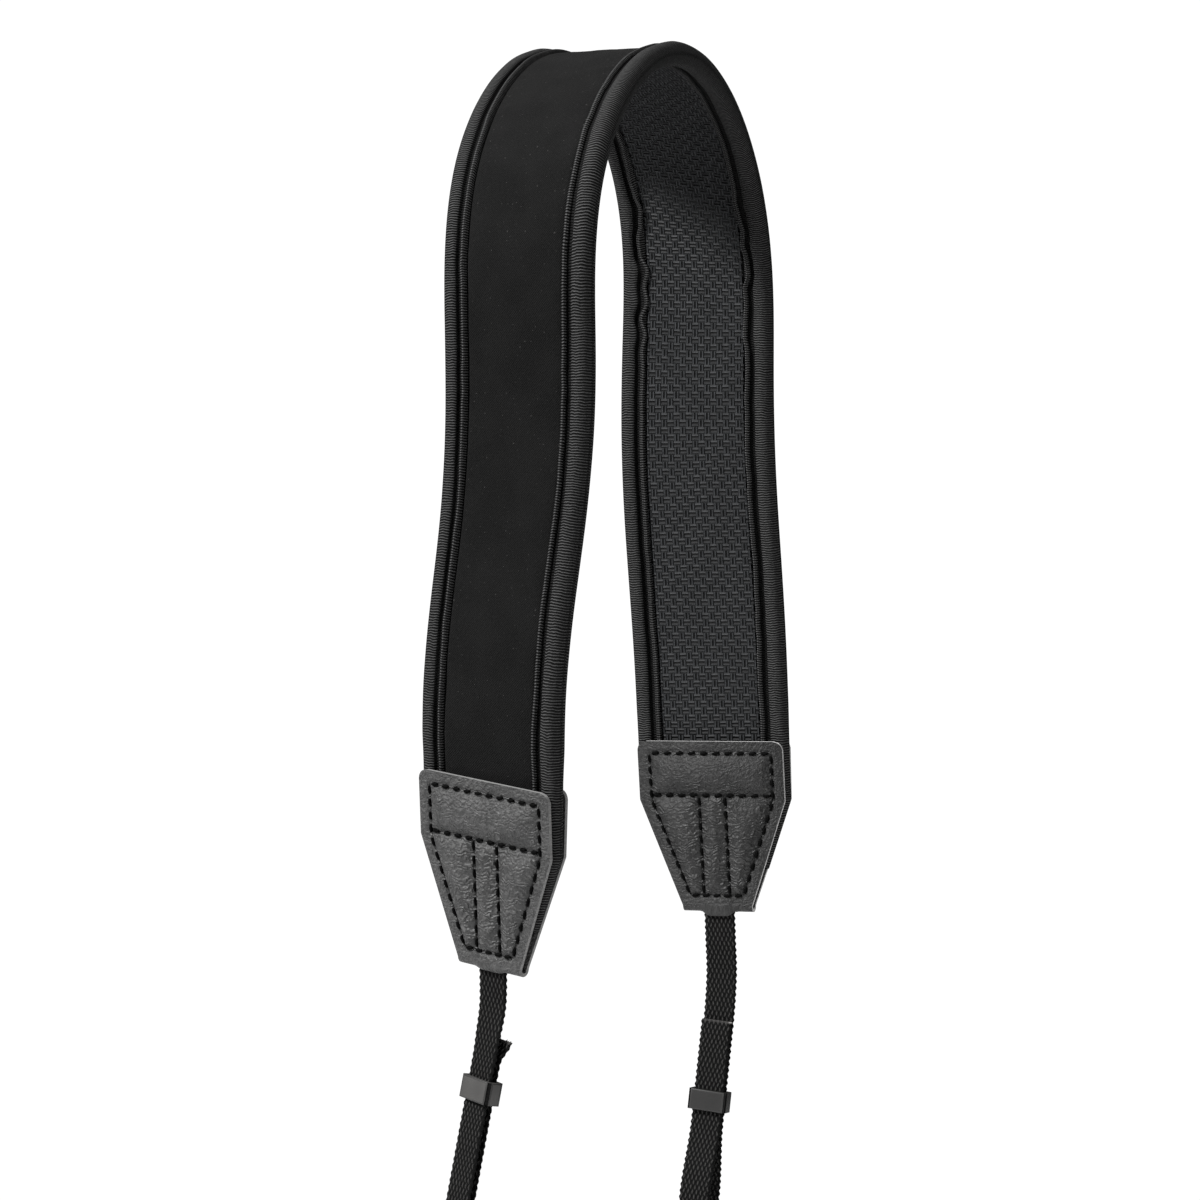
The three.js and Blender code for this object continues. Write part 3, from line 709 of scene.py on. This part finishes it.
def place_tab(side, bulge):
    def place(points):
        run = points[:, 0] * SHEET_RUN
        outside = points[:, 2]
        turn = np.clip((run - FLAP) / FOLD_RUN, 0, 1) * math.pi
        down = np.where(run < SHEET_RUN / 2, np.minimum(run, FLAP), np.minimum(SHEET_RUN - run, FLAP))
        face = np.where(run < SHEET_RUN / 2, 1.0, -1.0)
        rounding = TAB_CORNER - np.sqrt(TAB_CORNER**2 - np.maximum(TAB_CORNER - down, 0) ** 2)
        across = (2 * points[:, 1] - 1) * (tab_half(down) - rounding)
        nearest, upright, inside = seam_distances(down, across)
        puff = PUFF * (1 - np.exp(-((nearest / PUFF_REACH) ** 2))) * inside
        drawn = SEAM_DEPTH * np.exp(-((nearest / SEAM_WIDTH) ** 2))
        creases = CREASE_HEIGHT * wander(7 * down + 2 * across, 7, 41)
        creases = creases * np.exp(-upright / CREASE_REACH) * inside
        thick = outside * (LEATHER_THICK + puff - drawn + creases)
        tube = np.exp(-((across / TUBE_HALF) ** 6))
        in_fold = (turn > 0) & (turn < math.pi)
        radius = FOLD_RADIUS - LEATHER_THICK * (1 - outside) + TUBE_LIFT * tube
        flap_height = flap_inside(down) + thick + TUBE_LIFT * tube * smoothstep(down, FOOT_STITCH - 3, FLAP)
        height = np.where(in_fold, radius * np.cos(turn), face * flap_height)
        reach = down + np.where(in_fold, radius * np.sin(turn) + bulge * tube * np.sin(turn) ** 0.5, 0)
        flat = np.column_stack([side * (TAB_TOP + reach), across, height])
        # The seam value tells the leather finish where to paint the dark seam line, as painted shade in the
        # seam valley, and where the creases gather beside the upright seams.
        seam = np.exp(-((nearest / SEAM_MARK) ** 2))
        seam = seam + GATHER_SHARE * np.exp(-upright / GATHER_REACH) * inside
        return flat, np.column_stack([run, across, np.minimum(seam, 1) * outside])

    return place


def slot_hole(centre):
    run = centre.x * SHEET_RUN - SHEET_RUN / 2
    return abs(run) < 0.9 and abs(2 * centre.y - 1) * TAB_FOOT_HALF < SLOT_HALF


for leg, (side, bulge) in LEGS.items():
    sheet = slab(*TAB_GRID, slot_hole)
    for face in sheet.faces:
        heights = [vertex.co.z for vertex in face.verts]
        face.material_index = int(max(heights) - min(heights) > 0.5)
    hang(f"tab_{leg}", sheet, place_tab(side, bulge), [LEATHER[leg], CUT_EDGE[leg]],
         nodes=[f"end_tab_{leg}"])

# %% [markdown]
# ## Tab stitches
# Black thread shows as short dashes that dip into the leather at each hole. One low capsule is repeated
# along every seam, on both flaps, a little aslant as a lock stitch lies.

# %% Tab stitches
STITCH_PITCH, STITCH_LENGTH, THREAD_RADIUS = 3.9, 2.8, 0.58
STITCH_LIFT, STITCH_SLANT = 0.26, 0.12


def stitch_places():
    for (down, across), (next_down, next_across) in seam_lines():
        length = math.hypot(next_down - down, next_across - across)
        count = max(round(length / STITCH_PITCH), 1)
        heading = math.atan2(next_across - across, next_down - down)
        for place in range(count):
            part = (place + 0.5) / count
            yield down + part * (next_down - down), across + part * (next_across - across), heading


def stitch_bmesh(side):
    bm = bmesh.new()
    shape = Matrix.Diagonal((STITCH_LENGTH / 2, THREAD_RADIUS, THREAD_RADIUS, 1))
    for face in (1, -1):
        for down, across, heading in stitch_places():
            inside = flap_inside(np.array([down]))[0]
            height = face * (inside + LEATHER_THICK - SEAM_DEPTH + STITCH_LIFT)
            slope = face * math.atan2(flap_inside(np.array([down + 1.0]))[0] - inside, 1)
            turn = Matrix.Rotation(heading + STITCH_SLANT, 4, "Z")
            tilt = Matrix.Rotation(-slope, 4, "Y")
            spot = Matrix.Translation((down, across, height))
            bmesh.ops.create_uvsphere(bm, u_segments=6, v_segments=5, radius=1,
                                      matrix=spot @ tilt @ turn @ shape)
    bmesh.ops.scale(bm, vec=(side, 1, 1), verts=bm.verts)
    bmesh.ops.translate(bm, vec=(side * TAB_TOP, 0, 0), verts=bm.verts)
    return bm


def as_it_is(points):
    return points, points


for leg, (side, _) in LEGS.items():
    hang(f"tab_stitches_{leg}", stitch_bmesh(side), as_it_is, [THREAD])

# %% [markdown]
# ## Webbing
# Each leg is one ribbon: it leaves the tab, runs down through keeper and adjuster, turns in the lug loop
# and comes back up inside as the tail. A grid with thickness follows that route, and its faces are lifted
# in staggered lumps where the warp passes over the weft. A bump alone would leave a straight outline.

# %% Webbing route
WEB_HALF, WEB_LAYER, WEB_SKIN, WEB_LUMP = 5.0, 0.85, 0.28, 0.43
WEB_SEWN_FROM, PARTING_DROP, PARTING_LENGTH = 22.4, 8.0, 12.0
LOOP_END, LOOP_HALF, LOOP_CORNER, LOOP_NECK, LOOP_SHOULDER = 480.0, 6.0, 4.0, 2.0, 18.0
ADJUSTER_AT, ADJUSTER_LENGTH, BOW_START = 428.0, 18.0, 6.0
ROUTE_STEP, TAIL_SLIP_LENGTH = 0.5, 7.0
WEBBING_LEGS = {
    "near": {"side": -1, "tail": 323.0, "slip": 2.1, "keeper": 338.0, "bow": 0.0, "end_corner_pale": 0.0, "seed": 51},
    "far": {"side": 1, "tail": 338.0, "slip": 0.0, "keeper": 363.4, "bow": 3.4, "end_corner_pale": 0.6, "seed": 61},
}


def layer_offset(along, leg):
    parting = TAB_TOP + TAB_LENGTH + PARTING_DROP
    bow_from = leg["keeper"] + BOW_START
    bow_to = ADJUSTER_AT - ADJUSTER_LENGTH / 2 - LOOP_NECK
    bow = leg["bow"] * np.sin(np.clip((along - bow_from) / (bow_to - bow_from), 0, 1) * math.pi) ** 2
    loop_top = ADJUSTER_AT + ADJUSTER_LENGTH / 2 + LOOP_NECK
    loop = smoothstep(along, loop_top, loop_top + LOOP_SHOULDER) * (LOOP_HALF - WEB_LAYER)
    return WEB_LAYER * smoothstep(along, parting, parting + PARTING_LENGTH) + bow + loop


def webbing_route(leg):
    """Points of the ribbon's middle: along, outward and sideways slip."""
    down = np.arange(TAB_TOP + WEB_SEWN_FROM, LOOP_END - LOOP_CORNER, ROUTE_STEP)
    turn = np.radians(np.arange(0, 91, 6))
    corner_along = LOOP_END - LOOP_CORNER + LOOP_CORNER * np.sin(turn)
    corner_out = LOOP_HALF - LOOP_CORNER + LOOP_CORNER * np.cos(turn)
    outer = np.column_stack([np.append(down, corner_along), np.append(layer_offset(down, leg), corner_out)])
    inner = outer[outer[:, 0] > leg["tail"]][::-1] * (1, -1)
    inner[:, 1] = np.where(inner[:, 0] < leg["keeper"], -WEB_LAYER, inner[:, 1])
    route = np.vstack([outer, inner])
    tail_slip = leg["slip"] * smoothstep(inner[:, 0], leg["tail"] + TAIL_SLIP_LENGTH, leg["tail"])
    slip = np.append(np.zeros(len(outer)), tail_slip)
    route[:, 1] -= slip / 2
    return np.column_stack([route, slip])


# %% Webbing
LUMP_ALONG, LUMP_ACROSS, EDGE_PITCH = 2.96, 1.42, 1.97
EDGE_WAVE, HEADING_STEP = 0.2, 0.6
CUT_END_LEVEL = 1.32
RIBBON_GRID = (1000, 40)


def yarn_lump(beat, column):
    """Height of one set of warp floats, long along the ribbon, from 0 to 1."""
    ahead = beat - np.round(beat)
    aside = column - np.round(column)
    return np.cos(np.pi * aside) ** 1.6 * np.clip(np.cos(np.pi * 1.15 * ahead), 0, 1) ** 0.7


def ribbon_run(route):
    return np.append(0, np.cumsum(np.hypot(*np.diff(route[:, :2], axis=0).T)))


def place_webbing(leg):
    route = webbing_route(leg)
    run_at = ribbon_run(route)
    length = run_at[-1]

    def place(points):
        run = points[:, 0] * length
        spread = 2 * points[:, 1] - 1
        face = 2 * points[:, 2] - 1
        along, outward, slip = (np.interp(run, run_at, route[:, axis]) for axis in range(3))
        ahead, behind = np.minimum(run + HEADING_STEP, length), np.maximum(run - HEADING_STEP, 0)
        heading = np.column_stack([
            np.interp(ahead, run_at, route[:, axis]) - np.interp(behind, run_at, route[:, axis])
            for axis in (0, 1)
        ])
        heading /= np.linalg.norm(heading, axis=1)[:, None]
        wide = WEB_HALF - 0.05 + EDGE_WAVE * np.sin(run / EDGE_PITCH * 2 * math.pi + spread * 1.6)
        across = spread * wide
        beat = run / LUMP_ALONG + 0.1 * wander(run - 240, 4, leg["seed"])
        column = spread * WEB_HALF / LUMP_ACROSS
        lump = np.maximum(yarn_lump(beat, column), yarn_lump(beat + 0.5, column + 0.5))
        rim = smoothstep(np.abs(spread), 1.0, 0.9)
        thick = (WEB_SKIN * (0.55 + 0.45 * rim) + (WEB_LUMP - 0.02) * lump * rim) * face
        flat = np.column_stack([
            leg["side"] * (along - thick * heading[:, 1]), across + slip, outward + thick * heading[:, 0],
        ])
        # The cut end is painted paler, and on the far ribbon more so towards one corner.
        cut = smoothstep(run, length - 0.9, length - 0.1)
        pale = CUT_END_LEVEL + leg["end_corner_pale"] * smoothstep(spread, 0.72, 0.95)
        return flat, np.column_stack([run, across, lump * rim * (1 - cut) + pale * cut])

    print("ribbon length", round(float(length), 1), "mm")
    return place


for name, leg in WEBBING_LEGS.items():
    hang(f"ribbon_{name}", slab(*RIBBON_GRID), place_webbing(leg), [WEBBING],
         nodes=[f"webbing_{name}"])

# %% [markdown]
# ## Frayed tail end
# The near tail was cut and not sealed, so loose fibres stand out of its end. They are short thin cones,
# each turned a little by a seeded draw.

# %% Frayed tail end
FRAY_COUNT, FRAY_SPREAD, FRAY_REACH, FRAY_RADII = 16, 4.6, (0.2, 0.6), (0.11, 0.05)


def fray_bmesh(leg):
    draw = np.random.default_rng(71)
    bm = bmesh.new()
    for _ in range(FRAY_COUNT):
        spot = (leg["tail"] + 0.35, draw.uniform(-FRAY_SPREAD, FRAY_SPREAD) + leg["slip"],
                -WEB_LAYER - leg["slip"] / 2 + draw.uniform(-0.5, 0.5))
        turn = Matrix.Rotation(-math.pi / 2 + draw.uniform(-0.5, 0.5), 4, "Y")
        lean = Matrix.Rotation(draw.uniform(-0.6, 0.6), 4, "Z")
        reach = draw.uniform(*FRAY_REACH)
        lift = Matrix.Translation((0, 0, reach / 2))
        bmesh.ops.create_cone(bm, cap_ends=True, segments=5, radius1=FRAY_RADII[0], radius2=FRAY_RADII[1],
                              depth=reach, matrix=Matrix.Translation(spot) @ lean @ turn @ lift)
    bmesh.ops.scale(bm, vec=(leg["side"], 1, 1), verts=bm.verts)
    return bm


hang("tail_fray_near", fray_bmesh(WEBBING_LEGS["near"]), as_it_is, [FRAY])

# %% [markdown]
# ## Keepers
# A keeper is a moulded tube with flat faces. A dark line runs down each corner, where the front plate
# meets the side: a shallow groove painted nearly black, as painted shadow. A cube loses its two open ends,
# gets a wall, and its corners are cut and pushed in. The rounded rims are a little darker than the plates.

# %% Keepers
KEEPER = {
    "along": 6.4, "across": 13.0, "outward": 5.6, "wall": 1.05, "corner": 1.05, "line": 0.25, "round": 0.42,
}


def keeper_bmesh():
    bm = bmesh.new()
    bmesh.ops.create_cube(bm, size=1)
    bmesh.ops.scale(bm, vec=(KEEPER["along"], KEEPER["across"], KEEPER["outward"]), verts=bm.verts)
    open_ends = [face for face in bm.faces if abs(face.normal.x) > 0.9]
    bmesh.ops.delete(bm, geom=open_ends, context="FACES_ONLY")
    corners = [edge for edge in bm.edges if abs(edge.verts[0].co.x - edge.verts[1].co.x) > 1]
    bmesh.ops.bevel(bm, geom=corners, offset=KEEPER["corner"], offset_type="OFFSET", affect="EDGES",
                    segments=1, profile=0.5, material=-1)
    bmesh.ops.recalc_face_normals(bm, faces=bm.faces)
    bmesh.ops.solidify(bm, geom=list(bm.faces), thickness=KEEPER["wall"])
    bmesh.ops.recalc_face_normals(bm, faces=bm.faces)
    half_across, half_out = KEEPER["across"] / 2, KEEPER["outward"] / 2
    outer = [face for face in bm.faces if max(abs(v.co.y) for v in face.verts) > half_across - 0.01
             or max(abs(v.co.z) for v in face.verts) > half_out - 0.01]
    plates = [face for face in outer if abs(face.normal.x) < 0.1
              and (abs(face.normal.y) > 0.9 or abs(face.normal.z) > 0.9)]
    edges = {edge for face in plates for edge in face.edges}
    rounded = set(bmesh.ops.bevel(bm, geom=list(edges), offset=KEEPER["round"], offset_type="OFFSET",
                                  affect="EDGES", segments=3, profile=0.5, material=-1)["faces"])
    for face in bm.faces:
        slanted = abs(abs(face.normal.y) - abs(face.normal.z)) < 0.35 and abs(face.normal.x) < 0.1
        reach = face.calc_center_median()
        line = slanted and abs(reach.y) > half_across - 0.9 and face.calc_area() > 0.6
        # Material 1 paints the corner grooves nearly black, as painted shadow; material 2 is the rounded
        # rims.
        face.material_index = 1 if line else 2 if face in rounded else 0
    lines = [face for face in bm.faces if face.material_index == 1]
    bmesh.ops.inset_individual(bm, faces=lines, thickness=0.05, depth=-KEEPER["line"])
    return bm


def stiff(name, bm, at, finishes, body, nodes):
    """A moulded piece keeps its shape: it is set on the strap line as one rigid body."""
    mesh = bpy.data.meshes.new(name)
    axes = drape(np.array([[at, 0, 0], [at, 1, 0], [at, 0, 1]], dtype=float))
    centre = Vector(axes[0])
    across, outward = Vector((axes[1] - axes[0]) * 1000), Vector((axes[2] - axes[0]) * 1000)
    forward = outward.cross(across)
    frame_matrix = Matrix((forward, across, outward)).transposed().to_4x4()
    place = Matrix.Translation(centre) @ frame_matrix @ Matrix.Scale(0.001, 4)
    bmesh.ops.transform(bm, matrix=place, verts=bm.verts)
    bmesh.ops.recalc_face_normals(bm, faces=bm.faces)
    bm.to_mesh(mesh)
    bm.free()
    return show(name, mesh, finishes, body, nodes)


for name, leg in WEBBING_LEGS.items():
    stiff(f"slider_{name}", keeper_bmesh(), leg["side"] * leg["keeper"],
          [KEEPER_PLASTIC[name], SHADOW_LINE_PAINT, RIM_PLASTIC], f"keeper_{name}",
          [f"keeper_{name}"])

# %% [markdown]
# ## Adjusters
# The three-bar slides are out of the photograph, and plain. Their solids have the right shape, but
# moulded edges are never sharp, so a copy of each solid is merged and its edges are rounded.

# %% Adjusters
ADJUSTER_EDGE = 0.00035


def rounded_copy(node):
    bm = bmesh.new()
    bm.from_mesh(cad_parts[node].data)
    bmesh.ops.remove_doubles(bm, verts=bm.verts, dist=1e-6)
    bmesh.ops.dissolve_limit(bm, angle_limit=0.02, verts=bm.verts, edges=bm.edges)
    sharp = [edge for edge in bm.edges if len(edge.link_faces) == 2 and edge.calc_face_angle() > 0.5]
    bmesh.ops.bevel(bm, geom=sharp, offset=ADJUSTER_EDGE, offset_type="OFFSET", affect="EDGES",
                    segments=2, profile=0.5, material=-1)
    mesh = bpy.data.meshes.new(node)
    bm.to_mesh(mesh)
    bm.free()
    return mesh


for name in WEBBING_LEGS:
    show(f"slide_{name}", rounded_copy(f"adjuster_{name}"), [ADJUSTER_PLASTIC],
         nodes=[f"adjuster_{name}"])

# %% [markdown]
# ## Floor, light and camera
# The strap hangs in front of white, so the floor is pale and lies just below the loops. A soft
# light stands high on the camera's left, a weaker one fills from the right, and a third hangs overhead.

# %% Floor
FLOOR_RADIUS = 0.5
FLOOR_GAP = 0.004


def pale_floor():
    finish = Finish("pale_floor", Roughness=0.9, Specular_IOR_Level=0.0)
    finish.shader.inputs["Base Color"].default_value = grey(0.9)
    bm = bmesh.new()
    bmesh.ops.create_circle(bm, cap_ends=True, segments=96, radius=FLOOR_RADIUS)
    bmesh.ops.translate(bm, verts=bm.verts, vec=(0, 0, cad_box[0].z - FLOOR_GAP))
    mesh = bpy.data.meshes.new("floor")
    bm.to_mesh(mesh)
    bm.free()
    mesh.materials.append(finish.material)
    floor = bpy.data.objects.new("floor", mesh)
    bpy.context.collection.objects.link(floor)
    return floor


print("floor at", round(pale_floor().data.vertices[0].co.z, 4))

# %% Light
ROOM_LIGHT, BACKDROP_LIGHT = 0.06, 1.05
LIGHT_AIM = Vector((0, 0, -0.15))
LIGHTS = {
    # place, size and power
    "key_light": ((-0.85, 0.8, 1.0), 0.4, 46),
    "fill_light": ((-0.8, -1.3, 0.3), 0.6, 6),
    "top_light": ((0.1, -0.1, 1.6), 0.8, 9),
}


def white_room():
    world = bpy.data.worlds.new("white_room")
    world.use_nodes = True
    nodes, links = world.node_tree.nodes, world.node_tree.links
    background = nodes["Background"]
    background.inputs["Color"].default_value = grey(1.0)
    seen = nodes.new("ShaderNodeLightPath")
    level = nodes.new("ShaderNodeMapRange")
    level.inputs["To Min"].default_value = ROOM_LIGHT
    level.inputs["To Max"].default_value = BACKDROP_LIGHT
    links.new(seen.outputs["Is Camera Ray"], level.inputs["Value"])
    links.new(level.outputs["Result"], background.inputs["Strength"])
    bpy.context.scene.world = world


def soft_light(name, place, size, power):
    lamp = bpy.data.lights.new(name, "AREA")
    lamp.shape = "DISK"
    lamp.size = size
    lamp.energy = power
    light = bpy.data.objects.new(name, lamp)
    light.location = place
    aim = LIGHT_AIM - Vector(place)
    light.rotation_euler = aim.to_track_quat("-Z", "Y").to_euler()
    bpy.context.collection.objects.link(light)


white_room()
for name, (place, size, power) in LIGHTS.items():
    soft_light(name, place, size, power)
print("lights", sorted(LIGHTS))

# %% Camera
CAMERA_AT = Vector((-1.10870, -0.48898, -0.10295))
CAMERA_AIM = Vector((-0.00329, 0.00156, -0.15427))
CAMERA_ROLL = math.radians(0.53)
CAMERA_LENS, SENSOR_WIDTH = 125.33, 36


def photo_camera():
    data = bpy.data.cameras.new("photo_camera")
    data.lens = CAMERA_LENS
    data.sensor_width = SENSOR_WIDTH
    camera = bpy.data.objects.new("photo_camera", data)
    forward = (CAMERA_AIM - CAMERA_AT).normalized()
    right = forward.cross(Vector((0, 0, 1))).normalized()
    up = right.cross(forward)
    rolled_right = math.cos(CAMERA_ROLL) * right + math.sin(CAMERA_ROLL) * up
    rolled_up = math.cos(CAMERA_ROLL) * up - math.sin(CAMERA_ROLL) * right
    turn = Matrix((rolled_right, rolled_up, -forward)).transposed().to_4x4()
    camera.matrix_world = Matrix.Translation(CAMERA_AT) @ turn
    bpy.context.collection.objects.link(camera)
    bpy.context.scene.camera = camera
    bpy.context.scene.view_settings.view_transform = "Standard"
    return camera


print("camera at", [round(value, 4) for value in photo_camera().location])
